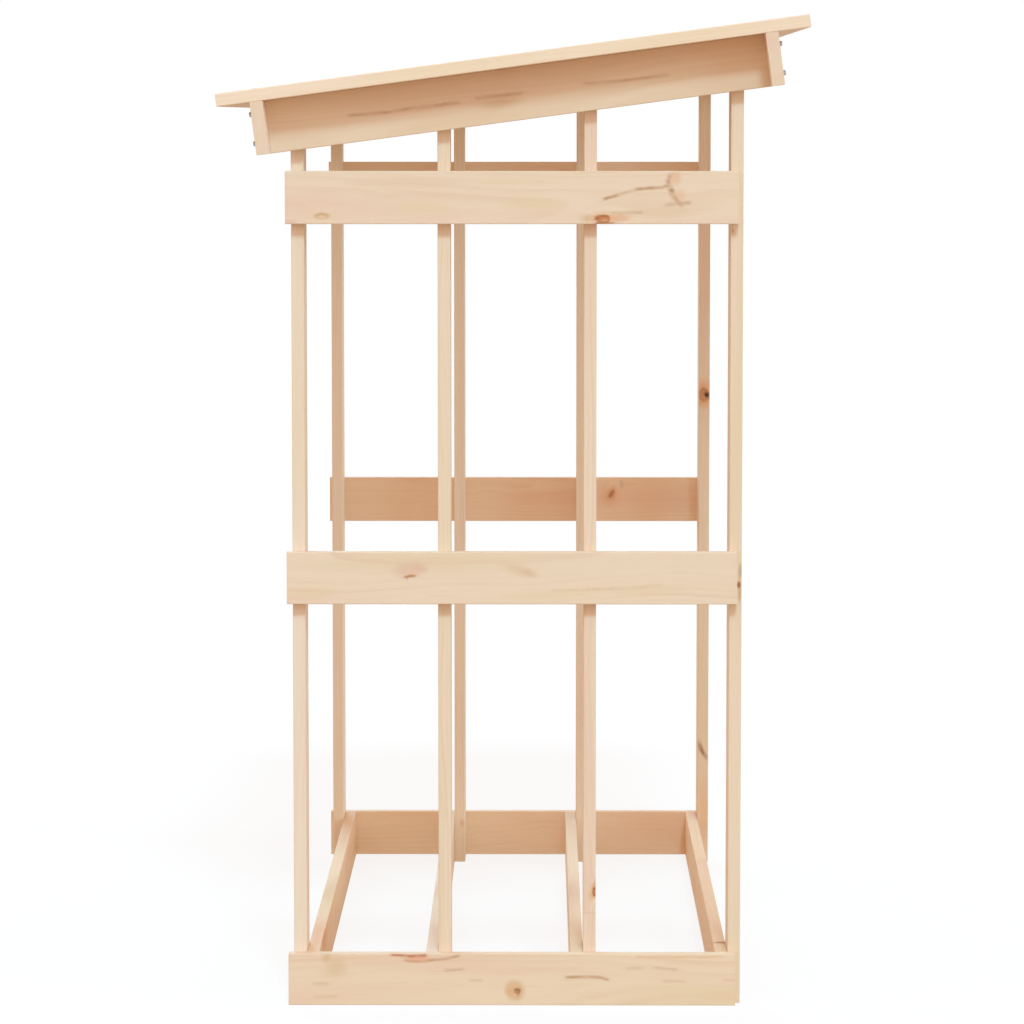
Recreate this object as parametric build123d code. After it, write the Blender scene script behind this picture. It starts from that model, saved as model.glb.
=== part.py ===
# Log store: an open timber frame under a pitched board roof.
# Two end frames of four posts and three side boards carry two rafters, two purlin
# boards and a deck of roof boards. Four floor battens on edge tie the end frames.
# X runs across the depth, from the low eave (-X) to the tall open side (+X).
# Y runs along the length. Z is up, and Z = 0 is the ground.

import os
from math import cos, radians, sin, tan

from build123d import *

# Timber stock, planed on all sides
board_thickness = 14.0
board_width = 58.0
arris_radius = 1.0

# Roof
roof_pitch = 7.6  # degrees, rising to +X
roof_board_length = 650.0  # down the pitch
roof_length = 1080.0  # along Y
roof_board_gap = 2.0  # the least gap between roof boards; what is left over is shared out
eave_overhang = 36.0  # roof boards past the outer face of each purlin, along the pitch
roof_mid_height = 1038.8  # underside of the roof boards above the ground at X = 0

# End frames
end_overhang = 38.0  # roof past the outer faces of each end frame, along Y
low_setback = 77.3  # lowest post in from the low eave, level
high_setback = 70.0  # tallest post in from the high eave, level
post_count = 4
side_board_lap = 5.8  # the side boards reach this far past the lowest post
middle_board_height = 449.0  # underside of the middle side board
top_board_drop = 21.0  # top side board below the rafter, at the board's low end

# Worked out from the values above
pitch = radians(roof_pitch)
low_eave_x = -(roof_board_length * cos(pitch) - board_thickness * sin(pitch)) / 2
high_eave_x = low_eave_x + roof_board_length * cos(pitch)
roof_board_count = int((roof_length + roof_board_gap) // (board_width + roof_board_gap))
roof_board_pitch = (roof_length - board_width) / (roof_board_count - 1)
rafter_length = roof_board_length - 2 * (eave_overhang + board_thickness)
frame_length = roof_length - 2 * end_overhang
post_face_y = frame_length / 2 - board_thickness
first_post_x = low_eave_x + low_setback
post_row_depth = high_eave_x - high_setback - first_post_x
post_pitch = (post_row_depth - board_thickness) / (post_count - 1)
side_board_x = first_post_x - side_board_lap


def roof_underside(x):
    """Height of the underside of the roof boards at x."""
    return roof_mid_height + x * tan(pitch)


def side_board_levels():
    """Height of the lower edge of each side board."""
    rafter_underside = roof_underside(side_board_x) - board_width / cos(pitch)
    return {
        "bottom": 0.0,
        "middle": middle_board_height,
        "top": rafter_underside - top_board_drop - board_width,
    }


def board(size_x, size_y, size_z, grain):
    """A square-cut board with its lowest corner at the origin, its arrises along the grain rounded."""
    solid = Box(size_x, size_y, size_z, align=(Align.MIN, Align.MIN, Align.MIN))
    return fillet(solid.edges().filter_by(grain), arris_radius)


def on_pitch(along, y, below):
    """Place on the roof: distance up the pitch from the low eave, place in Y, and distance
    below the underside of the roof boards, square to it."""
    low_eave = Location((low_eave_x, 0, roof_underside(low_eave_x)), (0, -roof_pitch, 0))
    return low_eave * Pos(along, y, -below)


def post(x):
    """An upright with its top cut to the pitch, so that the roof boards bear on all of it."""
    outline = Polyline(
        (x, 0),
        (x + board_thickness, 0),
        (x + board_thickness, roof_underside(x + board_thickness)),
        (x, roof_underside(x)),
        close=True,
    )
    solid = extrude(Plane.XZ * make_face(outline), -board_width)
    return fillet(solid.edges().filter_by(Axis.Z), arris_radius)


def post_x(index):
    """Lower X of a post, counted from the low side."""
    return first_post_x + index * post_pitch


def end_frame(end, side):
    """Posts, side boards and rafter of one end frame; side is -1 at -Y and 1 at +Y."""
    outer_y = side * (frame_length - board_thickness) / 2 - board_thickness / 2
    post_y = side * (post_face_y - board_width / 2) - board_width / 2
    side_board = board(post_row_depth, board_thickness, board_width, Axis.X)
    rafter = board(rafter_length, board_thickness, board_width, Axis.X)
    pieces = {}
    for index in range(post_count):
        pieces[f"post_{end}_{index + 1}"] = Pos(0, post_y, 0) * post(post_x(index))
    for level, height in side_board_levels().items():
        pieces[f"side_board_{end}_{level}"] = Pos(side_board_x, outer_y, height) * side_board
    pieces[f"rafter_{end}"] = on_pitch(eave_overhang + board_thickness, outer_y, board_width) * rafter
    return pieces


def floor_battens():
    """Boards on edge between the side boards, each against the face of a post."""
    batten = board(board_thickness, 2 * post_face_y, board_width, Axis.Y)
    pieces = {}
    for index in range(post_count):
        against = board_thickness if index == 0 else -board_thickness
        pieces[f"floor_batten_{index + 1}"] = Pos(post_x(index) + against, -post_face_y, 0) * batten
    return pieces


def purlins():
    """Boards on edge across the rafter ends, as long as the roof."""
    purlin = board(board_thickness, roof_length, board_width, Axis.Y)
    places = {"low": eave_overhang, "high": roof_board_length - eave_overhang - board_thickness}
    return {
        f"purlin_{name}": on_pitch(along, -roof_length / 2, board_width) * purlin
        for name, along in places.items()
    }


def roof_boards():
    """Boards down the pitch, side by side with narrow gaps."""
    roof_board = board(roof_board_length, board_width, board_thickness, Axis.X)
    pieces = {}
    for index in range(roof_board_count):
        y = -roof_length / 2 + index * roof_board_pitch
        pieces[f"roof_board_{index + 1:02d}"] = on_pitch(0, y, 0) * roof_board
    return pieces


os.makedirs("parts", exist_ok=True)
log_store = {
    **end_frame("near", -1),
    **end_frame("far", 1),
    **floor_battens(),
    **purlins(),
    **roof_boards(),
}
for name, solid in log_store.items():
    export_step(solid, f"parts/{name}.step")
volume = sum(solid.volume for solid in log_store.values())
print(len(log_store), "pieces,", round(volume / 1e6, 2), "litres of timber")
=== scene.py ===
# %% [markdown]
# # A log store of planed pine
# The store is an open frame: two end frames of four posts and three side boards, tied by
# four floor battens, under a roof of boards that slopes one way. All of it is one stock of
# softwood, 58 mm wide and 14 mm thick, so this lesson makes one board well and lays it forty
# times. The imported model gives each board's place, and nothing is measured a second time.

import random
from math import cos, radians, sin

import bmesh
import bpy
from mathutils import Matrix, Vector


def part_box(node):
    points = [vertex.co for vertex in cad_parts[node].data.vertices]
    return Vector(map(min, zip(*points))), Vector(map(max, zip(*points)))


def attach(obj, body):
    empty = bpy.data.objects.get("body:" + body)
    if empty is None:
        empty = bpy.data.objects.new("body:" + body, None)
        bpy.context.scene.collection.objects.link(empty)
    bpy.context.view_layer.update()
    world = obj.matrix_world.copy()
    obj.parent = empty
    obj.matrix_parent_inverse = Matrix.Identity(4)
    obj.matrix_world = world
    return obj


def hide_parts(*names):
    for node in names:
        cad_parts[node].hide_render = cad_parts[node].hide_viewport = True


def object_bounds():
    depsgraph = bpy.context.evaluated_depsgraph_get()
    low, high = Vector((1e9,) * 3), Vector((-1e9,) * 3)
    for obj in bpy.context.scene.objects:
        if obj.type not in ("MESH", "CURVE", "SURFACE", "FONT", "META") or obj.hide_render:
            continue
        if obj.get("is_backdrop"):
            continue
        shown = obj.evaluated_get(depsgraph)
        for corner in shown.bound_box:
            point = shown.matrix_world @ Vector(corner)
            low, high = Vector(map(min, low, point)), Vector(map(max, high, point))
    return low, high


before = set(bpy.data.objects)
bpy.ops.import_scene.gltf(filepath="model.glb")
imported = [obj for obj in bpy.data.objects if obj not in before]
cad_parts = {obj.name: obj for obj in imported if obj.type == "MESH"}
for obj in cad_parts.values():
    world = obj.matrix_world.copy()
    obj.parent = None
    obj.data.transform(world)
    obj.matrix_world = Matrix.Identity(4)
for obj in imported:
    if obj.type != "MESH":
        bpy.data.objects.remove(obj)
cad_low, cad_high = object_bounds()
size = cad_high - cad_low
print(f"the store is {size.x:.3f} deep, {size.y:.3f} long and {size.z:.3f} m high")

# %% [markdown]
# ## Camera
# The photograph looks along the store, square on to its end, from 4.7 m away and from just
# under the roof's height. A long lens could be kept level and shifted down, which keeps the
# posts parallel, but the shift would push the store out of every other view. So the camera
# stands at the true place and tips down by 5 degrees, which leans the posts by a few pixels.

# %% Camera
def add_object(name, data):
    """Puts a camera, a lamp or a mesh into the scene as an object."""
    item = bpy.data.objects.new(name, data)
    bpy.context.scene.collection.objects.link(item)
    return item


camera_data = bpy.data.cameras.new("camera")
camera_data.sensor_width = 36
camera_data.lens = 151.8
camera = add_object("camera", camera_data)
camera.location = (0.0287, -5.239, 0.984)
camera.rotation_euler = (radians(90 - 5.217), 0, radians(0.359))
bpy.context.scene.camera = camera
print("the camera stands", round(cad_low.y - camera.location.y, 2), "m from the roof's end")

# %% [markdown]
# ## Light
# The photograph has one large soft light above and behind the camera. It throws the blurred
# shadow of each side board on the posts under it, about 15 mm long, and that of the roof over
# most of the rafter, so it stands a little steeper than 45 degrees and is 11 degrees wide.
# The shaded timber is a redder brown than the lit timber. So the room's light is warm and the
# lamps are cool, and where both fall the timber has its own colour. A lamp at the right and
# one at the back light the faces that look there, and a weak one at the left keeps its side
# darker. Area lamps are nearer to a studio's, but their light would fall off along the store.
# A sun lamp with an angle gives the same soft shadow all over it.

# %% Lamps
def sun(name, travel, strength, width, colour):
    """A sun lamp whose light travels one way. Its width in degrees blurs the shadows."""
    lamp = bpy.data.lights.new(name, "SUN")
    lamp.energy = strength
    lamp.angle = radians(width)
    lamp.color = colour
    add_object(name, lamp).rotation_euler = Vector(travel).to_track_quat("-Z", "Y").to_euler()


sun("key_light", (-0.1, 0.92, -1.0), 1.87, 11, (0.40, 0.77, 1.0))
sun("right_light", (-1.0, 0.45, -0.3), 1.05, 30, (0.38, 0.74, 0.95))
sun("left_light", (1.0, 0.45, -0.3), 0.25, 30, (0.25, 0.66, 1.0))
sun("back_light", (0.3, -1.0, -0.5), 1.3, 25, (0.30, 0.78, 1.0))
bpy.context.scene.view_settings.view_transform = "Standard"

# %% [markdown]
# ## Nodes
# Materials are built from nodes. A short helper adds a node and feeds it: an input that is
# given another node's output is linked, and one that is given a number or a colour keeps it.
# Colours are written as they are seen in the photograph, from 0 to 255, and turned into the
# linear light that the shaders reckon with.

# %% Helpers for nodes
def put(tree, kind, feeds=(), **settings):
    """Adds a node with these settings and feeds its inputs, given by name or number."""
    node = tree.nodes.new("ShaderNode" + kind)
    for name, value in settings.items():
        setattr(node, name, value)
    for key, value in dict(feeds).items():
        if isinstance(value, bpy.types.NodeSocket):
            tree.links.new(value, node.inputs[key])
        else:
            node.inputs[key].default_value = value
    return node


def work(tree, operation, *numbers):
    """One step of arithmetic."""
    return put(tree, "Math", enumerate(numbers), operation=operation).outputs[0]


def vector_work(tree, operation, *vectors):
    """One step of arithmetic on vectors. A length, a distance and a dot product are numbers."""
    node = put(tree, "VectorMath", enumerate(vectors), operation=operation)
    return node.outputs["Value" if operation in ("LENGTH", "DISTANCE", "DOT_PRODUCT") else "Vector"]


def ease(tree, value, start, end):
    """0 before start and 1 after end, or the other way round, with a soft turn at both."""
    feeds = {"Value": value, "From Min": start, "From Max": end}
    return put(tree, "MapRange", feeds, interpolation_type="SMOOTHSTEP").outputs[0]


def dye(tree, amount, colour, other):
    """Mixes two colours: amount 0 is the first and 1 the second."""
    feeds = {"Factor": amount, 6: colour, 7: other}
    return put(tree, "Mix", feeds, data_type="RGBA").outputs[2]


def seen(red, green, blue):
    """A colour as the eye sees it on the photograph, as linear light, by the screen's own curve."""
    parts = [(c / 255 + 0.055) / 1.055 for c in (red, green, blue)]
    return (*[c**2.4 for c in parts], 1.0)


print("a pale pine is", [round(c, 3) for c in seen(236, 212, 186)[:3]], "in linear light")

# %% [markdown]
# ## Background
# The photograph's ground and background are plain white. Lighting them until they are white
# would also burn out the timber, so the world and the floor answer the camera's own rays with
# white, by Light Path. What lights the store is another room, warm and dimmer overhead than
# at its walls, because the shade under the roof and the boards is deep.

# %% World
wall_light = 1.09
overhead_loss = 0.4


def camera_sees(tree):
    """1 for rays that come from the camera, straight or by a gloss or glass."""
    path = put(tree, "LightPath")
    straight, gloss, glass = (path.outputs[f"Is {ray} Ray"] for ray in ("Camera", "Glossy", "Transmission"))
    return work(tree, "MAXIMUM", work(tree, "MAXIMUM", straight, gloss), glass)


world = bpy.data.worlds.new("studio")
world.use_nodes = True
tree = world.node_tree
tree.nodes.clear()
way = put(tree, "TexCoord").outputs["Generated"]
height = put(tree, "SeparateXYZ", {0: way}).outputs[2]
strength = work(tree, "MULTIPLY_ADD", height, -overhead_loss, wall_light)
room = put(tree, "Background", {"Color": (1.0, 0.72, 0.58, 1), "Strength": strength})
white = put(tree, "Background", {"Color": (1, 1, 1, 1), "Strength": 1.0})
backdrop = put(tree, "MixShader", {0: camera_sees(tree), 1: room.outputs[0], 2: white.outputs[0]})
put(tree, "OutputWorld", {"Surface": backdrop.outputs[0]})
bpy.context.scene.world = world
print(f"the room's light is {wall_light} at the walls and {wall_light - overhead_loss:.2f} overhead")

# %% [markdown]
# ## Floor
# The floor's white is a little short of full, so that the store's shadow still shows on it.
# To the store, the floor could be a matt brown, but the store's own shadow would leave the
# lowest boards darker than the photograph has them. So for every ray that isn't the camera's
# the floor gives off evenly what a brown floor in full light would send back.

# %% Floor
floor_white = 0.81
floor_reach = 30
floor_drop = 0.0002


def new_material(name):
    """A material without nodes, and the tree that they go into."""
    material = bpy.data.materials.new(name)
    material.use_nodes = True
    material.node_tree.nodes.clear()
    return material, material.node_tree


floor_paint, tree = new_material("white_floor")
sent_back = put(tree, "Emission", {"Color": (0.57, 0.44, 0.33, 1), "Strength": 1.0})
shadow_catch = put(tree, "BsdfDiffuse", {"Color": (0.18, 0.18, 0.18, 1)})
glow = put(tree, "Emission", {"Color": (1, 1, 1, 1), "Strength": floor_white})
shown = put(tree, "AddShader", {0: shadow_catch.outputs[0], 1: glow.outputs[0]})
both = put(tree, "MixShader", {0: camera_sees(tree), 1: sent_back.outputs[0], 2: shown.outputs[0]})
put(tree, "OutputMaterial", {"Surface": both.outputs[0]})

floor_mesh = bpy.data.meshes.new("floor")
bm = bmesh.new()
bmesh.ops.create_grid(bm, x_segments=1, y_segments=1, size=floor_reach)
bmesh.ops.translate(bm, vec=(0, 0, -floor_drop), verts=bm.verts)
bm.to_mesh(floor_mesh)
bm.free()
floor_mesh.materials.append(floor_paint)
add_object("floor", floor_mesh)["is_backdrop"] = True
print("the floor lies", floor_drop, "m under the ground line and reaches", floor_reach, "m each way")

# %% [markdown]
# ## Groups and noise
# A group of nodes is to a material what a function is to a script: all the boards share one
# group, and each board feeds it other values. A noise that is stretched along the grain gives
# all that is long and thin in wood, from the bend of a trunk to a single fibre.

# %% Groups and noise
def new_group(name, inputs, outputs):
    """An empty node group with these sockets: its tree, its input node and a way to feed its output."""
    group = bpy.data.node_groups.new(name, "ShaderNodeTree")
    for kind, names in (("INPUT", inputs), ("OUTPUT", outputs)):
        for socket, form in names.items():
            group.interface.new_socket(socket, in_out=kind, socket_type="NodeSocket" + form)
    start = group.nodes.new("NodeGroupInput")
    end = group.nodes.new("NodeGroupOutput")
    return group, start.outputs, lambda name, value: group.links.new(value, end.inputs[name])


def noise(tree, place, stretch, detail=2.0):
    """A noise stretched along the grain: stretch gives waves per metre along, across and through."""
    scaled = vector_work(tree, "MULTIPLY", place, stretch)
    return put(tree, "TexNoise", {"Vector": scaled, "Scale": 1.0, "Detail": detail}).outputs[0]


# %% [markdown]
# ## The grain of a log
# Grain could be a stretched noise alone, but real grain is solid: a board is a slice of a log,
# and the growth rings are nested pipes round the pith, which run out on the wide face as arches,
# on the edges as lines and on the ends as arcs. So the pattern is worked out in the board's
# own space, along, across and through, which each board carries as an attribute. The distance
# from the pith gives the ring, a slow noise makes the log crooked, and the pale early wood of
# each ring darkens slowly to its late wood and stops short.

# %% The log, as a group of nodes
ring_width = 0.0042
wander_depth = 0.055
ripple_depth = 0.0028
early_wood = seen(237, 212, 184)
late_wood = seen(222, 184, 146)
pink_wood = seen(234, 201, 175)
yellow_wood = seen(232, 207, 173)
fibre_waves = (26, 900, 900)
late_strength = 0.42
fibre_strength = 0.25


def count_rings(tree, given, place):
    """The rings between a point and the pith, in a log that wanders and swells at its knots."""
    from_pith = vector_work(tree, "SUBTRACT", given["Place"], given["Pith"])
    radius = vector_work(tree, "LENGTH", vector_work(tree, "MULTIPLY", from_pith, (0, 1, 1)))
    wander = work(tree, "MULTIPLY", noise(tree, place, (1.5, 7, 7)), wander_depth)
    ripple = work(tree, "MULTIPLY", noise(tree, place, (12, 80, 80)), ripple_depth)
    swollen = work(tree, "ADD", radius, given["Bulge"])
    return work(tree, "DIVIDE", work(tree, "ADD", work(tree, "ADD", swollen, wander), ripple), ring_width)


def find_late_wood(tree, given, place):
    """How late the wood is: it darkens slowly in each ring, and no two years are alike."""
    rings = count_rings(tree, given, place)
    year = work(tree, "FRACT", rings)
    growth = work(tree, "MULTIPLY", ease(tree, year, 0.25, 0.9), ease(tree, year, 1.0, 0.93))
    which = work(tree, "ADD", work(tree, "FLOOR", rings), given["Seed"])
    luck = put(tree, "TexWhiteNoise", {"W": which}, noise_dimensions="1D").outputs["Value"]
    fading = ease(tree, noise(tree, place, (5, 30, 30)), 0.35, 0.65)
    late = work(tree, "MULTIPLY", growth, work(tree, "MULTIPLY_ADD", luck, 0.7, 0.15))
    return work(tree, "MULTIPLY", late, work(tree, "MULTIPLY_ADD", fading, 0.6, 0.4))


def make_log():
    """Rings, broad bands of pinkish and yellowish wood, and fine fibres."""
    inputs = {"Place": "Vector", "Seed": "Float", "Pith": "Vector", "Bulge": "Float"}
    outputs = {"Color": "Color", "Late": "Float", "Fibre": "Float"}
    tree, given, give = new_group("pine_log", inputs, outputs)
    shift = enumerate(work(tree, "MULTIPLY", given["Seed"], apart) for apart in (3.1, 1.7, 2.3))
    place = vector_work(tree, "ADD", given["Place"], put(tree, "CombineXYZ", shift).outputs[0])

    late = find_late_wood(tree, given, place)
    band = noise(tree, place, (1.8, 22, 22), 3.0)
    fibre = noise(tree, place, fibre_waves)
    colour = dye(tree, ease(tree, band, 0.5, 0.72), early_wood, pink_wood)
    colour = dye(tree, ease(tree, band, 0.5, 0.30), colour, yellow_wood)
    colour = dye(tree, work(tree, "MULTIPLY", late, late_strength), colour, late_wood)
    fleck = work(tree, "MULTIPLY", ease(tree, fibre, 0.55, 0.75), fibre_strength)
    colour = dye(tree, fleck, colour, late_wood)
    give("Color", colour)
    give("Late", late)
    give("Fibre", fibre)
    return tree


log_group = make_log()
fibre_width = round(1000 / fibre_waves[1], 1)
print("the log group has", len(log_group.nodes), "nodes, and its fibres are", fibre_width, "mm wide")

# %% [markdown]
# ## Knots, stains and streaks
# A knot is the foot of a branch. Its core is dark and ringed, the wood round it is stained
# with resin, and the log's rings swell round it. Painting it on would fail where it comes
# out of the other face, so it is solid too: an egg in the board's own space, long through
# the board. A Mapping node of the Texture kind moves, turns and scales that space so that
# the egg becomes a ball of radius 1, and the length of the result says how far away it is.

# %% Eggs in the wood
knot_wood = seen(200, 132, 88)
knot_rim = seen(136, 80, 52)
resin_wood = seen(226, 168, 116)
streak_brown = seen(168, 118, 84)
stain_reach = 2.6
core_waves = 18.0


def egg(tree, place, middle, reach, turn=0.0):
    """The distance from an egg's middle, 1 on its skin. The turn is in the wide face."""
    feeds = {"Vector": place, "Location": middle, "Rotation": (0, 0, turn), "Scale": reach}
    ball = put(tree, "Mapping", feeds, vector_type="TEXTURE").outputs[0]
    return vector_work(tree, "LENGTH", ball)


def make_knot():
    """A knot over the wood: its resin stain reaches past its skin, and its core is ringed."""
    inputs = {"Color": "Color", "Away": "Float", "Core": "Float", "Stain": "Float", "Rim": "Float"}
    tree, given, give = new_group("pine_knot", inputs, {"Color": "Color"})
    away = given["Away"]
    stain = work(tree, "MULTIPLY", ease(tree, away, stain_reach, 0.9), given["Stain"])
    colour = dye(tree, stain, given["Color"], resin_wood)
    rings = work(tree, "MULTIPLY", work(tree, "SINE", work(tree, "MULTIPLY", away, core_waves)), 0.15)
    rim = work(tree, "MULTIPLY_ADD", ease(tree, away, 0.4, 1.0), given["Rim"], rings)
    core = work(tree, "MULTIPLY", ease(tree, away, 1.2, 0.8), given["Core"])
    give("Color", dye(tree, core, colour, dye(tree, rim, knot_wood, knot_rim)))
    return tree


def add_streak(tree, colour, place, middle, reach, turn=0.0, strength=0.6, tint=streak_brown, edge=0.3):
    """A thin streak or a broad stain: an egg of another colour that fades towards its skin."""
    away = egg(tree, place, middle, reach, turn)
    return dye(tree, work(tree, "MULTIPLY", ease(tree, away, 1.0, edge), strength), colour, tint)


knot_group = make_knot()
print("the knot group has", len(knot_group.nodes), "nodes")

# %% [markdown]
# ## Thin lines
# The near boards also have thin brown lines: resin in a crack, or the scar of a branch. A row
# of streaks would look like a dashed line, since each of them fades at its ends. A line is
# whole if a point asks how far away the nearest of its straight runs is.

# %% Lines
def make_segment():
    """How far a point is from the straight run that begins at Start."""
    inputs = {"Place": "Vector", "Start": "Vector", "Run": "Vector"}
    tree, given, give = new_group("segment", inputs, {"Away": "Float"})
    run = given["Run"]
    way = vector_work(tree, "SUBTRACT", given["Place"], given["Start"])
    along = vector_work(tree, "DOT_PRODUCT", way, run)
    whole = vector_work(tree, "DOT_PRODUCT", run, run)
    part = put(tree, "Clamp", {0: work(tree, "DIVIDE", along, whole)}).outputs[0]
    foot = put(tree, "VectorMath", {0: run, "Scale": part}, operation="SCALE").outputs[0]
    give("Away", vector_work(tree, "DISTANCE", way, foot))
    return tree


def add_line(tree, colour, place, frayed, points, half_width, strength, tint):
    """A thin line through some points. It is soft, tapers at its tips, and frayed makes it uneven."""
    nearest = 1.0
    for start, end in zip(points, points[1:]):
        feeds = {"Place": place, "Start": start, "Run": end - start}
        away = put(tree, "Group", feeds, node_tree=segment_group).outputs["Away"]
        nearest = work(tree, "MINIMUM", nearest, away)
    tips = [vector_work(tree, "DISTANCE", place, tip) for tip in (points[0], points[-1])]
    taper = ease(tree, work(tree, "MINIMUM", *tips), 0, half_width * 2)
    amount = work(tree, "MULTIPLY", ease(tree, nearest, half_width, 0), work(tree, "MULTIPLY", taper, frayed))
    return dye(tree, work(tree, "MULTIPLY", amount, strength), colour, tint)


segment_group = make_segment()
print("the segment group has", len(segment_group.nodes), "nodes")

# %% [markdown]
# ## Finger joints
# Softwood is sold in long clear lengths that are joined from short ones. Each joint is cut
# with fingers 8 mm long, which zigzag over the wide face and show as a straight line on the
# edge, and on each side of it the grain is another tree's. The fingers could be cut into the
# mesh, but a real joint is planed flush and has no relief. So it only has to count: a point
# past it gets another seed for its log, and a thin line marks the glue.

# %% Joints
stock_width = 0.058
finger_length = 0.008
finger_half_pitch = 0.0019
glue_line = 0.0003


def count_joints(tree, place, joints):
    """How many joints lie before a point, and 1 on a glue line."""
    parts = put(tree, "SeparateXYZ", {0: place}).outputs
    zigzag = work(tree, "PINGPONG", parts[1], finger_half_pitch)
    along = work(tree, "MULTIPLY_ADD", zigzag, finger_length / finger_half_pitch, parts[0])
    passed, glue = 0.0, 0.0
    for joint in joints:
        passed = work(tree, "ADD", passed, work(tree, "GREATER_THAN", along, joint))
        glue = work(tree, "MAXIMUM", glue, work(tree, "COMPARE", along, joint, glue_line))
    return passed, glue


print("a joint has", round(stock_width / finger_half_pitch / 2), "fingers across a board")

# %% [markdown]
# ## One board's timber
# Every board gets a material of its own, made by one function from the same groups, so that
# no two boards show the same grain. The board's log says where its pith runs, how pale or
# warm it is, and where its joints, knots and marks are. The bump is slight, because a
# planer leaves the hard late wood only a hair proud of the early wood.

# %% Wood and knots of one board
knot_swell = 0.010
next_log = 5.3


def find_knots(tree, place, knots):
    """How far each knot is, in slightly uneven wood, and how far the rings swell round them."""
    uneven = work(tree, "ADD", noise(tree, place, (120, 120, 120), 3.0), 0.5)
    away_from, bulge = [], 0.0
    for branch in knots:
        away = egg(tree, place, branch["middle"], branch["reach"], branch["turn"])
        away_from.append(work(tree, "MULTIPLY", away, uneven))
        fade = work(tree, "EXPONENT", work(tree, "MULTIPLY", work(tree, "POWER", away, 2.0), -0.16))
        bulge = work(tree, "MULTIPLY_ADD", fade, knot_swell * branch["core"], bulge)
    return away_from, bulge


def find_wood(tree, place, log, bulge):
    """The clear wood between a board's joints, and 1 on their glue lines."""
    passed, glue = count_joints(tree, place, log["joints"])
    seed = work(tree, "MULTIPLY_ADD", passed, next_log, log["seed"])
    feeds = {"Place": place, "Seed": seed, "Pith": log["pith"], "Bulge": bulge}
    return put(tree, "Group", feeds, node_tree=log_group).outputs, glue


def add_marks(tree, colour, place, log, away_from):
    """Stains and streaks go on first, then the knots, and the thin lines over both."""
    for mark in log["marks"]:
        if "reach" in mark:
            colour = add_streak(tree, colour, place, **mark)
    for branch, away in zip(log["knots"], away_from):
        feeds = {"Color": colour, "Away": away}
        feeds.update({name: branch[name.lower()] for name in ("Core", "Stain", "Rim")})
        colour = put(tree, "Group", feeds, node_tree=knot_group).outputs["Color"]
    frayed = work(tree, "MULTIPLY_ADD", noise(tree, place, (70, 260, 260), 3.0), 2.6, -0.25)
    for mark in log["marks"]:
        if "points" in mark:
            colour = add_line(tree, colour, place, frayed, **mark)
    return colour


print("the rings of a whole knot swell by", round(knot_swell * 1000), "mm")

# %% Timber
bump_height = 0.0003
glue_strength = 0.35
end_strength = 0.25
early_rough = 0.62
late_polish = 0.12


def timber(name, log):
    """The material of one board, cut from one log."""
    material, tree = new_material(name)
    place = put(tree, "Attribute", attribute_name="timber").outputs["Vector"]
    cut_end = put(tree, "Attribute", attribute_name="end_grain").outputs["Fac"]
    away_from, bulge = find_knots(tree, place, log["knots"])
    wood, glue = find_wood(tree, place, log, bulge)
    # The tone is the board's own colour, and it also paints light on the far frame and shade on three
    # battens.
    feeds = {"Factor": 1.0, 6: wood["Color"], 7: (*log["tone"], 1.0)}
    colour = put(tree, "Mix", feeds, data_type="RGBA", blend_type="MULTIPLY").outputs[2]
    colour = add_marks(tree, colour, place, log, away_from)
    colour = dye(tree, work(tree, "MULTIPLY", glue, glue_strength), colour, streak_brown)
    colour = dye(tree, work(tree, "MULTIPLY", cut_end, end_strength), colour, late_wood)

    height = work(tree, "MULTIPLY_ADD", wood["Late"], 0.6, work(tree, "MULTIPLY", wood["Fibre"], 0.4))
    bump = put(tree, "Bump", {"Strength": 0.35, "Distance": bump_height, "Height": height}).outputs[0]
    rough = work(tree, "MULTIPLY_ADD", wood["Late"], -late_polish, early_rough)
    feeds = {"Base Color": colour, "Roughness": rough, "Normal": bump, "Specular IOR Level": 0.25}
    shader = put(tree, "BsdfPrincipled", feeds)
    put(tree, "OutputMaterial", {"Surface": shader.outputs[0]})
    return material


print("the bump stands for grain", bump_height * 1000, "mm deep")

# %% [markdown]
# ## Marks that the photograph shows
# The boards that the photograph shows have their knots and marks where it shows them, given
# in millimetres from the board's middle: along it, across its width and through its thickness.
# They could be painted on an image, but a solid mark also shows on the board's other faces,
# and it stays sharp however near one comes.

# %% Knots, streaks and lines
mm = 0.001
stock_thickness = 0.014
wide_face = stock_thickness / 2 / mm
narrow_face = stock_width / 2 / mm


def metres(*sizes):
    """Turns sizes in millimetres into metres."""
    return [each * mm for each in sizes]


def knot(along, across, through, reach, core=0.8, stain=0.6, turn=0, rim=0.4):
    """A knot at a place in the board, with its reach each way, all in millimetres."""
    return {"middle": metres(along, across, through), "reach": metres(*reach), "turn": radians(turn),
            "core": core, "stain": stain, "rim": rim}


def streak(along, across, through, reach, strength=0.6, turn=0, tint=streak_brown, edge=0.3):
    """A streak or a stain, placed as a knot is, and some broad ones paint shade. The smaller its edge, the
    more softly it fades.
    """
    return {"middle": metres(along, across, through), "reach": metres(*reach), "turn": radians(turn),
            "strength": strength, "tint": tint, "edge": edge}


def line(points, half_width, strength, tint=streak_brown):
    """A thin mark through these points, which lie in the shown wide face unless they say how deep."""
    corners = [Vector((*point, wide_face)[:3]) * mm for point in points]
    return {"points": corners, "half_width": half_width * mm, "strength": strength, "tint": tint}


print("a board's faces lie", wide_face, "and", narrow_face, "mm from its middle")
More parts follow.
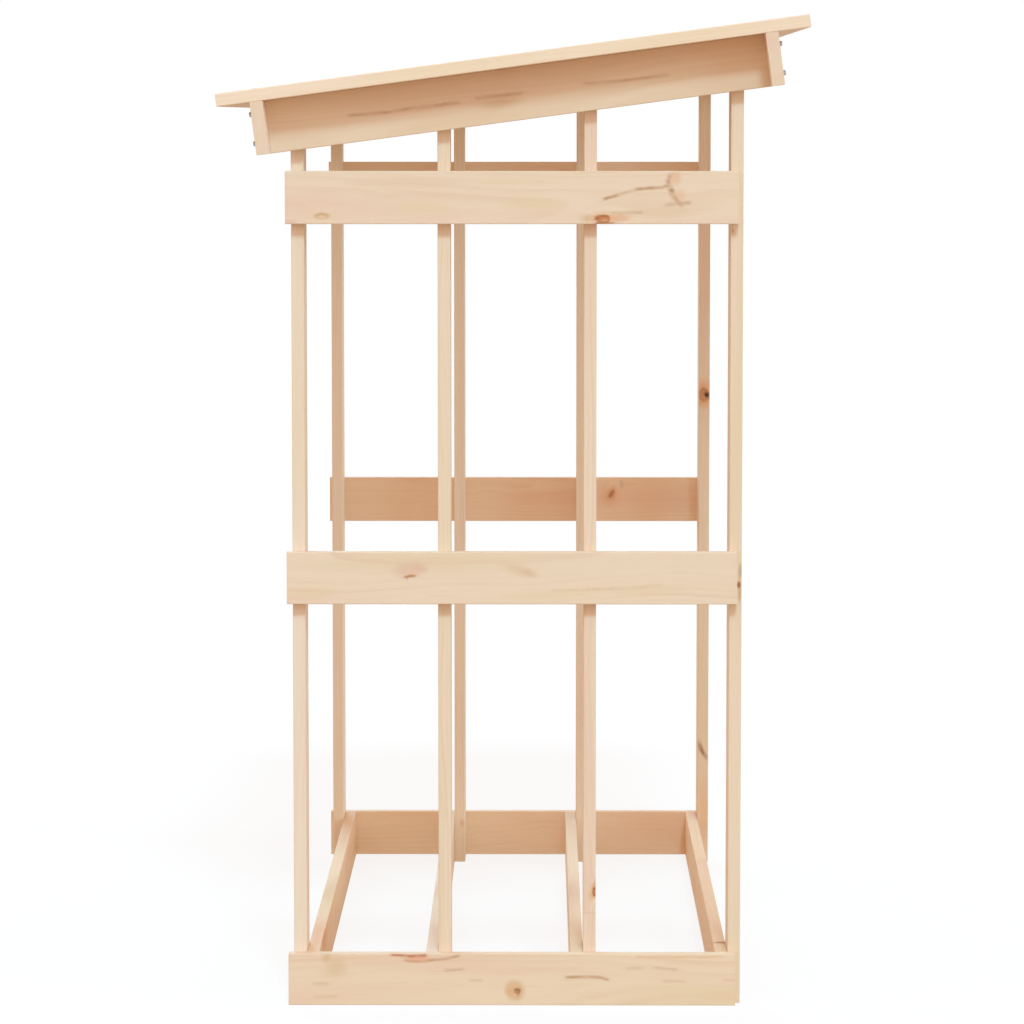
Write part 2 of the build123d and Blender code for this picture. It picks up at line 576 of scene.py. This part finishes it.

# %% [markdown]
# ## Colours of the marks
# Resin stains the wood round a knot orange, pink or peach. Broad bands of other wood are tan,
# honey or rose, bruises are olive or ash, and bark in a crack is brown. A few broad orange and
# tan stains paint shade. One brown, laid on more or less thickly, could stand for them all, but
# the photograph's marks differ in hue.

# %% Colours of the marks
orange_stain_and_shade = seen(226, 164, 116)
pink_stain = seen(224, 180, 154)
peach_stain = seen(237, 200, 166)
tan_stain_and_shade = seen(222, 188, 148)
honey_stain = seen(228, 202, 158)
red_resin = seen(196, 126, 92)
olive_stain = seen(208, 168, 120)
bark_brown = seen(190, 142, 99)
cone_brown = seen(184, 112, 66)
walnut_brown = seen(170, 116, 78)
coral_stain = seen(230, 172, 134)
rose_wood = seen(238, 214, 190)
ash_stain = seen(196, 172, 146)
coal_brown = seen(74, 46, 30)
print("a coral stain is", [round(c, 3) for c in coral_stain[:3]], "in linear light")

# %% [markdown]
# ## Marks on the near side boards
# These three boards are seen square on, so they carry most of what the eye finds: a round
# knot with a scar like a fork in the top one, a pale one in the middle one, and one with a
# broad halo in the bottom one. The fork is a few thin lines that meet.

# %% The top board
shown_knots, marks_and_painted_shade, shown_joints = {}, {}, {}
shown_knots["side_board_near_top"] = [knot(99.6, -23.2, wide_face, (8.2, 4.6, 9), 0.95, 0.5, 0, 0.2)]
marks_and_painted_shade["side_board_near_top"] = [
    line([(89, -22), (99, -22.6)], 3.0, 1.2, cone_brown),
    line([(94, -19.8), (108, -20.6)], 2.0, 0.8, cone_brown),
    line([(97, -25), (106, -24.4)], 1.7, 1.0, orange_stain_and_shade),
    # painted shadow: a dark line along the lower edge under the knot
    line([(90, -27.8), (114, -27.8)], 1.6, 0.7),
    streak(119, -22, wide_face, (17, 6, 10), 0.55, 0, orange_stain_and_shade),
    streak(82, -23, wide_face, (12, 7, 10), 0.55, 0, olive_stain, 0),
    streak(-208, -20, wide_face, (12, 5, 8), 0.85, 0, olive_stain, 0.4),
    streak(-208, -21.2, wide_face, (8, 2.8, 6), 0.8, 0, peach_stain, 0.2),
    streak(-243, -27, wide_face, (12, 5, 8), 0.4, 0, pink_stain),
    streak(-100, -10, wide_face, (50, 8, 10), 0.35, 0, honey_stain),
    streak(-110, 17, wide_face, (90, 8, 10), 0.25, 0, tan_stain_and_shade),
    streak(0, 17, wide_face, (65, 5, 10), 0.35, 0, honey_stain),
    streak(22, -6, wide_face, (45, 9, 10), 0.45, 0, honey_stain),
    streak(179, 22, wide_face, (9, 11, 10), 0.4, 0, orange_stain_and_shade),
    streak(184, 2, wide_face, (9, 10, 10), 0.3, 0, orange_stain_and_shade),
    streak(165, -16, wide_face, (50, 8, 10), 0.3, 0, tan_stain_and_shade),
    line([(97, -3), (108, 0.5), (119, 3.5)], 3.2, 0.8, bark_brown),
    line([(112, 1.5), (127, 6.5), (145, 9.8)], 3.0, 0.35, bark_brown),
    line([(132, 9), (144, 9.8), (154, 10.5), (165, 11.2), (175, 15)], 3.4, 0.6, bark_brown),
    line([(174, 29), (171, 18), (173, 10)], 4.2, 0.6, bark_brown),
    line([(170, 17), (174.5, 8), (178, -2)], 5.6, 0.75, bark_brown),
    line([(174, 5), (182, -5), (190, -12)], 4.2, 0.45, bark_brown),
    line([(164, -8), (184, -6.5), (200, -5.2)], 4.0, 0.45, bark_brown),
    line([(106, -16.6), (147, -16.6)], 3.4, 0.3, bark_brown),
]
print(len(marks_and_painted_shade["side_board_near_top"]), "marks on the top board")

# %% The middle board
shown_knots["side_board_near_middle"] = [knot(-112, 3, wide_face, (3, 1.0, 3), 0.5, 0.3, 10)]
marks_and_painted_shade["side_board_near_middle"] = [
    streak(-113, 9, wide_face, (26, 12, 12), 0.55, 5, pink_stain),
    streak(-101, 12, wide_face, (12, 7, 10), 0.35, -20, pink_stain),
    line([(-121, 0.6), (-114, 2.0), (-104, 2.8)], 2.4, 0.8, bark_brown),
    line([(-115, 2), (-115.4, -4)], 1.6, 0.6, bark_brown),
    streak(130, 12, wide_face, (240, 22, 10), 0.6, 0, rose_wood, 0.2),
    streak(8, 9, wide_face, (30, 10, 10), 0.6, -14, tan_stain_and_shade, 0),
    streak(19, 6, wide_face, (13, 6, 10), 0.35, -20, olive_stain, 0),
    streak(-222, -16, wide_face, (34, 9, 10), 0.4, 0, honey_stain),
    line([(40, -14), (92, -12), (125, -11), (170, -7)], 3.4, 0.4, tan_stain_and_shade),
    streak(40, -19, wide_face, (90, 7, 10), 0.35, 2, honey_stain),
    streak(150, -14, wide_face, (60, 5, 10), 0.3, 2, honey_stain),
]
print(len(marks_and_painted_shade["side_board_near_middle"]), "marks on the middle board")

# %% The bottom board
shown_knots["side_board_near_bottom"] = [knot(6.2, -12.8, wide_face, (3.8, 3.8, 8), 0.8, 0, -10, 0.1)]
marks_and_painted_shade["side_board_near_bottom"] = [
    streak(3.4, -12, wide_face, (14, 16, 10), 0.9, 28, tan_stain_and_shade, 0.5),
    streak(3.4, -12, wide_face, (12, 14, 10), 0.35, 28, orange_stain_and_shade, 0.3),
    line([(0, -10.8), (11.8, -12.2)], 2.8, 0.8, walnut_brown),
    line([(9, -9), (6.2, -20.5)], 2.8, 0.7, walnut_brown),
    streak(-3, -14.5, wide_face, (8, 6, 8), 0.45, -20, orange_stain_and_shade, 0),
    line([(-138, 28.4), (-125, 27.2), (-112, 26.4), (-92, 27.2)], 3.0, 0.8, red_resin),
    streak(-105, 23.4, wide_face, (20, 5.5, 8), 0.8, 0, coral_stain, 0.3),
    line([(-122, 22), (-110, 20.4), (-93, 20.4)], 2.6, 0.5, red_resin),
    line([(-99, 20.6), (-88, 22.2), (-79, 22.8), (-68, 24.6), (-55, 27.8)], 3.0, 0.65, bark_brown),
    line([(-78, 10), (-64, 10.6), (-50, 12.4)], 3.2, 0.35, bark_brown),
    line([(-50, -0.8), (-29, -0.8)], 3.2, 0.22, bark_brown),
    streak(-206, 25, wide_face, (9, 11, 8), 0.5, -20, olive_stain, 0),
    streak(-195, 15, wide_face, (17, 19, 8), 0.7, 0, tan_stain_and_shade, 0),
    streak(-200, 8, wide_face, (26, 10, 8), 0.3, 0, tan_stain_and_shade, 0),
    line([(57, 2.4), (75, 3.2), (88, 3.0), (98, 2.4), (111, -0.6)], 3.2, 0.6, bark_brown),
    line([(124, 12.9), (149, 12.9)], 3.4, 0.22, bark_brown),
    line([(154, 14.2), (187, 11.2)], 3.4, 0.26, bark_brown),
    line([(136, 25.7), (237, 25.6)], 2.6, 0.3, orange_stain_and_shade),
    line([(164, -1.4), (196, -1.4)], 3.0, 0.3, olive_stain),
    line([(233, -0.2), (252, -0.2)], 2.4, 0.22, bark_brown),
    line([(-225, -5.2), (-200, -5.2)], 3.6, 0.5, olive_stain),
    line([(-223, -19.8), (-190, -19.4)], 3.2, 0.28, olive_stain),
]
print(len(marks_and_painted_shade["side_board_near_bottom"]), "marks on the bottom board")

# %% [markdown]
# ## Marks on the other shown boards
# A post shows its near narrow face, so its marks lie there, and the third number of each says
# how far it is to the left or the right of the post's middle. Of the far frame and the floor
# battens only what is large enough to see from here is drawn. The near rafter is in shade, and
# its marks are faint. Some broad stains here are painted shade: on the lower part of the tallest
# far post, the right half of the far bottom board, the near end of the first batten and the top
# of the near rafter.

# %% Marks on the posts
shown_knots["post_near_4"] = [
    knot(-67, -narrow_face, -3.8, (2.8, 5.4, 2.0), 1.0, 0.4, 0, 0.9),
    knot(324, -narrow_face, 4.4, (2.5, 4, 1.2), 0.4, 0.4),
]
marks_and_painted_shade["post_near_4"] = [
    streak(-67, -narrow_face, -5, (32, 4, 3), 0.5, 0, pink_stain),
    streak(-51, -narrow_face, -5.2, (12, 4, 3), 0.8, 0, ash_stain),
    streak(-78, -narrow_face, -4.6, (10, 4, 2.4), 0.45, 0, bark_brown),
    line([(-72.5, -narrow_face, -3.8), (-61.5, -narrow_face, -3.8)], 2.5, 1.2, walnut_brown),
]
shown_knots["post_near_3"] = [knot(-400, -narrow_face, -5.4, (5.0, 7, 2.0), 0.95, 0.9, 0, 1.0)]
marks_and_painted_shade["post_near_3"] = [
    streak(-393, -narrow_face, -6.2, (12, 3, 1.2), 0.5),
    streak(-404, -narrow_face, -2, (9, 3, 4), 0.5, 0, orange_stain_and_shade, 0),
]
shown_joints["post_near_3"] = metres(-418)
shown_knots["post_far_4"] = [knot(85, -narrow_face, 0.5, (9.5, 9, 6.5), 0.7, 0.9)]
marks_and_painted_shade["post_far_4"] = [
    line([(90, -narrow_face, 2), (85, -narrow_face, -3), (80, -narrow_face, -8)], 5, 1.3, coal_brown),
    streak(62, -narrow_face, 3, (30, 5, 5), 0.4, 0, honey_stain, 0),
    # painted shade: a broad tan stain darkens the lower part of the post
    streak(-420, -narrow_face, 0, (620, 90, 60), 0.55, 0, tan_stain_and_shade, 0),
    streak(-470, -narrow_face, -3, (75, 30, 20), 0.5, 0, orange_stain_and_shade, 0),
    line([(-368, -narrow_face, 8), (-386, -narrow_face, 2), (-402, -narrow_face, -8)], 5, 0.7),
]
shown_knots["post_far_2"] = [knot(-463, -narrow_face, -2.9, (3, 5, 2), 0.2, 0.3, 0, 0.1)]
shown_joints["post_far_3"] = metres(442)
print(len(shown_joints), "of the shown posts have a finger joint")

# %% Marks on the far boards, the battens and the rafter
shown_knots["side_board_far_middle"] = [knot(127, 8, wide_face, (2.8, 5.5, 9), 0.8, 0.6, -28, 0.5)]
marks_and_painted_shade["side_board_far_middle"] = [
    streak(124, 4, wide_face, (20, 22, 12), 0.4, 0, orange_stain_and_shade, 0),
    streak(140, 20, wide_face, (5, 10, 8), 0.3, 10, streak_brown, 0),
]
# painted shade: an orange stain darkens the right half of the board, where the key light reaches
marks_and_painted_shade["side_board_far_bottom"] = [streak(225, 0, wide_face, (190, 90, 16), 0.5, 0, orange_stain_and_shade, 0)]
shown_joints["floor_batten_1"] = metres(-253)
# painted shade: an orange stain darkens the near end of the top edge
marks_and_painted_shade["floor_batten_1"] = [streak(-390, narrow_face, 0, (130, 60, 30), 0.6, 0, orange_stain_and_shade, 0.2)]
shown_joints["floor_batten_3"] = metres(-367)
shown_joints["floor_batten_4"] = metres(125)
# a dark band across the top edge near the near end
shown_knots["floor_batten_4"] = [knot(-434, 28, 4, (5, 5, 9), 1.0, 0.5)]
marks_and_painted_shade["rafter_near"] = [
    # a tan band along the top edge, which also paints the roof's shade there
    streak(0, 22, wide_face, (420, 24, 12), 0.3, 0, tan_stain_and_shade, 0.5),
    streak(-20, -8, wide_face, (34, 11, 8), 0.55, 3, olive_stain, 0),
    streak(-30, -22, wide_face, (170, 16, 8), 0.4, 0, tan_stain_and_shade, 0),
    line([(-190, 1), (-145, -1), (-117, -0.4), (-60, -1)], 3.6, 0.4, bark_brown),
    line([(-50, 0.9), (-20, 0.5), (10, 0.1)], 3.6, 0.5, bark_brown),
    line([(70, 1.5), (106, -0.7), (170, -2)], 3.4, 0.35, bark_brown),
]
print(len(marks_and_painted_shade), "boards have marks where the photograph shows them")

# %% [markdown]
# ## Tones
# Boards from other trees are paler or warmer. The far frame is made paler still, which paints
# light where the roof shades it. Three battens are made darker and redder, which partly paints
# the shade on their near ends and sides. Each shown board could have its own early and late
# wood, but a factor on red, green and blue keeps all of a board's colours in step. A name here
# stands for every board whose name begins with it, and the first that fits counts.

# %% Tones
plain = (1.0, 1.0, 1.0)
pale_painted_light = (1.03, 1.1, 1.15)
tones_and_painted_light = {
    "side_board_near_bottom": (1.0, 0.98, 0.94),
    "side_board_near": plain,
    # painted light: the far side boards are made paler where the roof shades them
    "side_board_far_top": (1.13, 1.19, 1.3),
    "side_board_far_middle": (1.08, 1.08, 1.09),
    "side_board_far_bottom": (1.11, 1.15, 1.17),
    "rafter_near": (0.98, 0.96, 0.93),
    "post_near_1": (1.02, 1.05, 1.1),
    "post_near": plain,
    # painted light: the far posts are made paler where the roof shades them
    "post_far_4": (1.0, 1.04, 1.04),
    "post_far": pale_painted_light,
    # partly painted shade: the darker, redder battens also carry the shade on their near ends and sides
    "floor_batten_1": (0.97, 0.86, 0.73),
    "floor_batten_2": plain,
    "floor_batten_3": (0.99, 0.93, 0.85),
    "floor_batten_4": (0.98, 0.85, 0.72),
    "purlin": (1.02, 1.04, 1.08),
    "roof_board_01": (1.09, 1.1, 1.13),
}
print(len(tones_and_painted_light), "tones")

# %% [markdown]
# ## Marks by lot
# What the photograph doesn't show is drawn by lot, from a seed that is the board's own name, so
# that the same store is made each time. One seed for all would do as well, but then a board
# more or less would change every board after it.

# %% Marks by lot
def unseen_face(node):
    """The wide face that the photograph doesn't show: 1 or -1 through the board."""
    turned = node.startswith("post") and node[-1] in "12"
    turned = turned or node.startswith("floor_batten") and node[-1] in "34"
    return 1 if turned else -1


def chance_knots(lot, node, length, shown):
    """Knots by lot, about two in a metre. A board that is shown has them on its other face."""
    found = []
    for _ in range(lot.choice((0, 1, 1, 2, 2, 3))):
        along = lot.uniform(-0.47, 0.47) * length / mm
        size = lot.uniform(2.0, 5.0)
        oval = size * lot.uniform(1.0, 1.8)
        strength = lot.uniform(0.45, 0.9)
        across = lot.uniform(-4 if shown else -24, 24)
        through, depth = (wide_face * unseen_face(node), 5) if shown else (0, 30)
        found.append(knot(along, across, through, (oval, size, depth), strength, lot.uniform(0.3, 0.8)))
    return found


def log_of(node, length):
    """Where a board's pith, joints, knots and marks are, and its tone."""
    lot = random.Random(node)
    tones = [tone for name, tone in tones_and_painted_light.items() if node.startswith(name)]
    pith = (0, lot.uniform(-0.03, 0.03), lot.choice((-1, 1)) * lot.uniform(0.025, 0.09))
    by_lot = chance_knots(lot, node, length, bool(tones))
    joints = sorted(lot.uniform(-0.4, 0.4) * length for _ in range(lot.choice((0, 0, 1, 1, 2))))
    depth, warmth = lot.uniform(0.96, 1.03), lot.uniform(-0.03, 0.03)
    tone = (depth * (1 + warmth / 2), depth, depth * (1 - warmth))
    return {
        "seed": lot.uniform(0, 50),
        "pith": pith,
        "tone": tones[0] if tones else tone,
        "joints": shown_joints.get(node, [] if tones else joints),
        "knots": shown_knots.get(node, []) + by_lot,
        "marks": marks_and_painted_shade.get(node, []),
    }


print("a post by lot:", log_of("post_far_2", 1.0))

# %% [markdown]
# ## One board
# A board could be a cube with a Bevel modifier, but the pitch cut at the top of a post has
# to come before the edges are eased, and each corner has to know its place in the board. So
# the board is made flat at the origin, cut, eased with two bevels, a round one along the
# grain and a small one at the sawn ends, given its attributes, and only then laid in place.

# %% A flat board
arris_radius = 0.001
end_easing = 0.0003


def is_end(face):
    """Whether a face is a sawn end and not a side along the grain."""
    return abs(face.normal.x) > 0.7


def flat_board(length, top_pitch=None):
    """A board with its middle at the origin: its length in X, width in Y and thickness in Z."""
    bm = bmesh.new()
    bmesh.ops.create_cube(bm, size=1)
    bmesh.ops.scale(bm, vec=(length, stock_width, stock_thickness), verts=bm.verts)
    if top_pitch is not None:
        high_corner = (length / 2, 0, -stock_thickness / 2)
        bmesh.ops.bisect_plane(bm, geom=bm.verts[:] + bm.edges[:] + bm.faces[:], plane_co=high_corner,
                               plane_no=(cos(top_pitch), 0, sin(top_pitch)), clear_outer=True)
        bmesh.ops.holes_fill(bm, edges=bm.edges)
    bm.normal_update()
    long_edges = [e for e in bm.edges if abs((e.verts[0].co - e.verts[1].co).normalized().x) > 0.9]
    bmesh.ops.bevel(bm, geom=long_edges, affect="EDGES", offset=arris_radius, offset_type="OFFSET",
                    segments=3, profile=0.5, material=-1)
    bm.normal_update()
    end_edges = list({e for f in bm.faces if is_end(f) for e in f.edges})
    bmesh.ops.bevel(bm, geom=end_edges, affect="EDGES", offset=end_easing, offset_type="OFFSET",
                    segments=1, profile=0.5, material=-1)
    bm.normal_update()
    return bm


def mark_timber(bm):
    """Keeps each corner's place in the flat board, and which faces are sawn ends."""
    place = bm.verts.layers.float_vector.new("timber")
    for vert in bm.verts:
        vert[place] = vert.co
    cut = bm.faces.layers.float.new("end_grain")
    for face in bm.faces:
        face[cut] = float(is_end(face))


trial_board = flat_board(1.0)
print("a board has", len(trial_board.faces), "faces")
trial_board.free()

# %% [markdown]
# ## Laying a board in place
# The model's level box gives a board's middle, and the board is told which way its grain and
# its width lie. The object could be turned and moved, but the export puts every object at the
# origin, so the mesh itself is turned and moved. How far the laid board's box is from the
# model's is kept, to be printed after each kind of board.

# %% Laying boards
def add_piece(bm, name, materials):
    """Makes a bmesh an object of the store."""
    mesh = bpy.data.meshes.new(name)
    bm.to_mesh(mesh)
    bm.free()
    for material in materials:
        mesh.materials.append(material)
    piece = add_object(name, mesh)
    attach(piece, "root")
    return piece


def lay_board(node, grain, width_way, length, top_pitch=None):
    """Makes the board that stands for a node: grain and width_way are the ways it lies."""
    low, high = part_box(node)
    middle = (low + high) / 2
    bm = flat_board(length, top_pitch)
    mark_timber(bm)
    turned = Matrix((grain, width_way, grain.cross(width_way))).transposed().to_4x4()
    bmesh.ops.transform(bm, matrix=Matrix.Translation(middle) @ turned, verts=bm.verts)
    piece = add_piece(bm, "pine_" + node, [timber(node, log_of(node, length))])
    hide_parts(node)
    corners = [v.co for v in piece.data.vertices]
    reach = [max(c[i] for c in corners) - high[i] for i in range(3)]
    reach += [low[i] - min(c[i] for c in corners) for i in range(3)]
    worst.append(max(abs(r) for r in reach))
    return piece


def print_fit(what):
    """Prints how well the boards laid so far fill their nodes' boxes."""
    print(f"{what}: {len(worst)} boards so far, off the model by {max(worst) * 1000:.3f} mm at most")


level_x = Vector((1, 0, 0))
level_y = Vector((0, 1, 0))
upright = Vector((0, 0, 1))
worst = []
print("the grain of a side board lies along", level_x[:], "and its width along", upright[:])

# %% [markdown]
# ## Posts
# Eight posts stand on the ground. Their wide faces run along the store's length, so that its
# end shows their 14 mm edges. Their tops are sawn to the roof's pitch, which the photograph
# hides behind the rafter, and the roof boards bear on them. A Boolean could saw them in place,
# but one cut through the flat board is simpler, and it is then eased as any end is.

# %% Posts
roof_pitch = radians(7.6)
ends = ("near", "far")
from_low_side = (1, 2, 3, 4)
for end in ends:
    for number in from_low_side:
        node = f"post_{end}_{number}"
        low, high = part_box(node)
        lay_board(node, upright, level_y, high.z - low.z, top_pitch=roof_pitch)
print_fit("posts")

# %% [markdown]
# ## Side boards
# Three boards cross the posts of each end frame on the outside: one on the ground, one at
# half height and one under the rafter. They reach 6 mm past the lowest post and stop as
# much short of the tallest one's far face, so a strip of that post shows beside them.
# Copies of one board would repeat its knots, so each is made anew from its own log.

# %% Side boards
for end in ends:
    for level in ("bottom", "middle", "top"):
        node = f"side_board_{end}_{level}"
        low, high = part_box(node)
        lay_board(node, level_x, upright, high.x - low.x)
print_fit("side boards")

# %% [markdown]
# ## Floor battens
# The logs lie on four boards set on edge, which run the length of the store between the side
# boards. Each lies against the face of a post. Its place could be worked out from that post,
# but the model's box already holds it.

# %% Floor battens
for number in from_low_side:
    node = f"floor_batten_{number}"
    low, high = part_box(node)
    lay_board(node, level_y, upright, high.y - low.y)
print_fit("floor battens")

# %% [markdown]
# ## Rafters, purlins and roof boards
# The roof slopes by 7.6 degrees. A rafter on each end frame and the two purlins across their
# ends hang square under the roof boards. The model gives a level box round each piece, and
# the true length of a turned board follows from that box, the pitch and the stock.

# %% Rafters and purlins
up_the_pitch = Vector((cos(roof_pitch), 0, sin(roof_pitch)))
off_the_roof = Vector((-sin(roof_pitch), 0, cos(roof_pitch)))


def length_on_pitch(node, depth):
    """The length of a board that runs up the pitch, from its level box and its depth."""
    low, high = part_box(node)
    return (high.x - low.x - depth * sin(roof_pitch)) / cos(roof_pitch)


for end in ends:
    node = f"rafter_{end}"
    lay_board(node, up_the_pitch, off_the_roof, length_on_pitch(node, stock_width))
for side in ("low", "high"):
    node = f"purlin_{side}"
    low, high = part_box(node)
    lay_board(node, level_y, off_the_roof, high.y - low.y)
print_fit("rafters and purlins")

# %% Roof boards
roof_nodes = sorted(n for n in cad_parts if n.startswith("roof_board"))
for node in roof_nodes:
    length = length_on_pitch(node, stock_thickness)
    lay_board(node, up_the_pitch, level_y, length)
print(len(roof_nodes), "roof boards of", round(length, 4), "m")
print_fit("roof boards")

# %% [markdown]
# ## Steel
# Screws and nails for outdoor timber are coated with zinc. An even metal would look like
# chrome, so a fine noise varies its grey and its gloss, as the spangle of a zinc coat does.

# %% Steel
least_rough = 0.28
rough_spread = 0.2
steel, tree = new_material("zinc_steel")
at = put(tree, "TexCoord").outputs["Object"]
spangle = put(tree, "TexNoise", {"Vector": at, "Scale": 900.0, "Detail": 2.0}).outputs[0]
tint = dye(tree, spangle, seen(150, 148, 142), seen(196, 194, 188))
rough = work(tree, "MULTIPLY_ADD", spangle, rough_spread, least_rough)
shader = put(tree, "BsdfPrincipled", {"Base Color": tint, "Roughness": rough, "Metallic": 0.9})
put(tree, "OutputMaterial", {"Surface": shader.outputs[0]})
print(f"the steel's roughness is {least_rough} to {least_rough + rough_spread:.2f}")

# %% [markdown]
# ## Screws
# Two screws through each end of a purlin hold it to the end of a rafter. They aren't driven
# home: the photograph shows their heads in profile, clear of the purlin's edge. A cylinder
# would show a square outline there, so a head is a domed profile spun round its axis. Its
# drive is a star: the top face is inset, every second corner is drawn in, and the star is
# pushed down.

# %% One screw
head_radius = 0.003
head_height = 0.0026
shank_radius = 0.002
stand_off = 0.0024
turns = 16
drive_rim = 0.0004
drive_waist = 0.62
drive_depth = 0.001


def screw_head(bm):
    """A domed head with a star drive on a shank, which stands on the ground plane."""
    outline = [(shank_radius, 0), (shank_radius, stand_off), (head_radius * 0.95, stand_off),
               (head_radius, stand_off + 0.0008), (head_radius * 0.9, stand_off + 0.0018),
               (head_radius * 0.66, stand_off + head_height)]
    verts = [bm.verts.new((r, 0, z)) for r, z in outline]
    edges = [bm.edges.new(pair) for pair in zip(verts, verts[1:])]
    bmesh.ops.spin(bm, geom=verts + edges, cent=(0, 0, 0), axis=(0, 0, 1), dvec=(0, 0, 0),
                   angle=radians(360), steps=turns, use_merge=True, use_duplicate=False)
    rim = [e for e in bm.edges if e.is_boundary and e.verts[0].co.z > stand_off]
    top = bmesh.ops.edgeloop_fill(bm, edges=rim)["faces"][0]
    bmesh.ops.inset_individual(bm, faces=[top], thickness=drive_rim, depth=0)
    for vert in list(top.verts)[::2]:
        vert.co.xy *= drive_waist
    pushed = bmesh.ops.extrude_discrete_faces(bm, faces=[top])["faces"][0]
    bmesh.ops.translate(bm, vec=(0, 0, -drive_depth), verts=pushed.verts)
    foot = [e for e in bm.edges if e.is_boundary]
    bmesh.ops.edgeloop_fill(bm, edges=foot)
    bmesh.ops.recalc_face_normals(bm, faces=bm.faces)


print("a head stands", round((stand_off + head_height) * 1000, 1), "mm proud of the purlin")

# %% The screws in their places
def add_copies(bm, make, matrices):
    """Makes a small thing once and lays a copy of it at each place."""
    single = bmesh.new()
    make(single)
    sample = bpy.data.meshes.new("sample")
    single.to_mesh(sample)
    single.free()
    for matrix in matrices:
        before = set(bm.verts)
        bm.from_mesh(sample)
        bmesh.ops.transform(bm, matrix=matrix, verts=[v for v in bm.verts if v not in before])
    bpy.data.meshes.remove(sample)


screw_from_edge = 0.013
places = []
for side, outward in (("low", -up_the_pitch), ("high", up_the_pitch)):
    low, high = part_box(f"purlin_{side}")
    face_middle = (low + high) / 2 + outward * stock_thickness / 2
    for end in ends:
        low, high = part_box(f"rafter_{end}")
        for across in (-1, 1):
            spot = face_middle + off_the_roof * across * (stock_width / 2 - screw_from_edge)
            spot.y = (low.y + high.y) / 2
            places.append(Matrix.Translation(spot) @ outward.to_track_quat("Z", "Y").to_matrix().to_4x4())
bm = bmesh.new()
add_copies(bm, screw_head, places)
add_piece(bm, "purlin_screws", [steel])
print(len(places), "screws")

# %% [markdown]
# ## Nails
# The roof boards are nailed down on the purlins through their upper faces, which the
# photograph doesn't show; such roofs are nailed so. A head is a flat cone of a few sides,
# because there are 72 of them, and two stand on each board over each purlin.

# %% Nails
nail_radius = 0.0022
nail_height = 0.0003
nail_sides = 12
nail_from_edge = 0.014


def nail_head(bm):
    """A flat head that lies on the ground plane."""
    bmesh.ops.create_cone(bm, cap_ends=True, segments=nail_sides, radius1=nail_radius,
                          radius2=nail_radius * 0.8, depth=nail_height)
    bmesh.ops.translate(bm, vec=(0, 0, nail_height / 2), verts=bm.verts)


places = []
for node in roof_nodes:
    low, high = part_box(node)
    top_middle = (low + high) / 2 + off_the_roof * stock_thickness / 2
    for side in ("low", "high"):
        purlin_low, purlin_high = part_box(f"purlin_{side}")
        along = ((purlin_low + purlin_high) / 2 - top_middle).dot(up_the_pitch)
        for across in (-1, 1):
            spot = top_middle + up_the_pitch * along + level_y * across * (stock_width / 2 - nail_from_edge)
            places.append(Matrix.Translation(spot) @ Matrix.Rotation(-roof_pitch, 4, "Y"))
bm = bmesh.new()
add_copies(bm, nail_head, places)
add_piece(bm, "roof_nails", [steel])
print(len(places), "nails")

# %% [markdown]
# ## The size
# The finished store's box is set against the model's, and how much their sizes differ along
# each axis is printed.

# %% Compare the boxes
low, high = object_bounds()
print("the boxes differ by", [round((b - a) * 1000, 2) for a, b in zip(cad_high - cad_low, high - low)], "mm")
